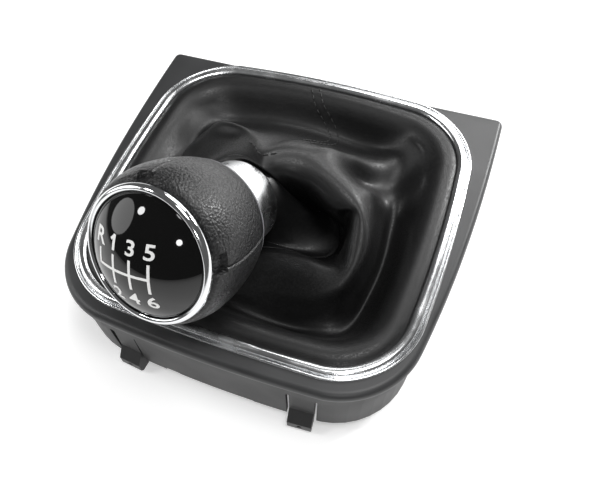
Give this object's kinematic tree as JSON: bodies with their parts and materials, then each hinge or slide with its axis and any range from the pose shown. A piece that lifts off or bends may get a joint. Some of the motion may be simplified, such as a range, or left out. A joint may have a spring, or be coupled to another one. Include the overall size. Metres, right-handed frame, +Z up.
{
  "type": "gear shift knob with gaiter and console bezel",
  "caption": "Gear shift knob lying back on a leather gaiter, held in a console bezel with a bright ring, a skirt and snap clips.",
  "frame": {"origin": "centre of the console bezel, in the plane of the bezel's underside", "axes": "+X to the right across the bezel, +Y towards its straight far edge, the front of the vehicle, +Z up out of the console"},
  "size_m": [0.15, 0.1415, 0.0931],
  "materials": {
    "bezel": "satin moulded plastic",
    "skirt": "fine grained moulded plastic",
    "clips": "satin moulded plastic",
    "chrome": "polished chrome plating",
    "steel": "zinc plated steel",
    "bush": "natural nylon",
    "leather": "soft grained black leather",
    "grip": "pebble grained black leather",
    "base_ring": "satin grey line",
    "lens": "high gloss black",
    "pattern": "white inlay"
  },
  "bodies": {
    "console": {"bezel": "bezel", "chrome_ring": "chrome", "ring_washers": "steel", "skirt_frame": "skirt", "snap_clips": "clips", "gaiter_retainer": "clips", "hem_staples": "steel", "gaiter": "leather"},
    "neck": {"gaiter_neck": "leather"},
    "knob": {"gaiter_clamp_ring": "steel", "collar_sleeve": "clips", "collar": "chrome", "lever_bush": "bush", "lever_clamp": "steel", "knob_core": "clips", "base_cover": "skirt", "base_ring": "base_ring", "grip_panel_1": "grip", "grip_panel_2": "grip", "grip_panel_3": "grip", "grip_panel_4": "grip", "trim_ring": "chrome", "cap_carrier": "clips", "cap_lens": "lens", "shift_pattern": "pattern"}
  },
  "joints": [
    {"name": "shift_fore_aft", "type": "hinge", "parent": "console", "child": "neck", "pos_m": [0, 0.031, 0.0256], "axis": [1, 0, 0], "range_deg": [-75, 0], "deforming": ["gaiter"]},
    {"name": "gate_lean", "type": "hinge", "parent": "neck", "child": "knob", "pos_m": [0, 0.031, 0.0256], "axis": [0, 0.5255, 0.8508], "range_deg": [-6, 20], "deforming": ["gaiter_neck"]}
  ]
}
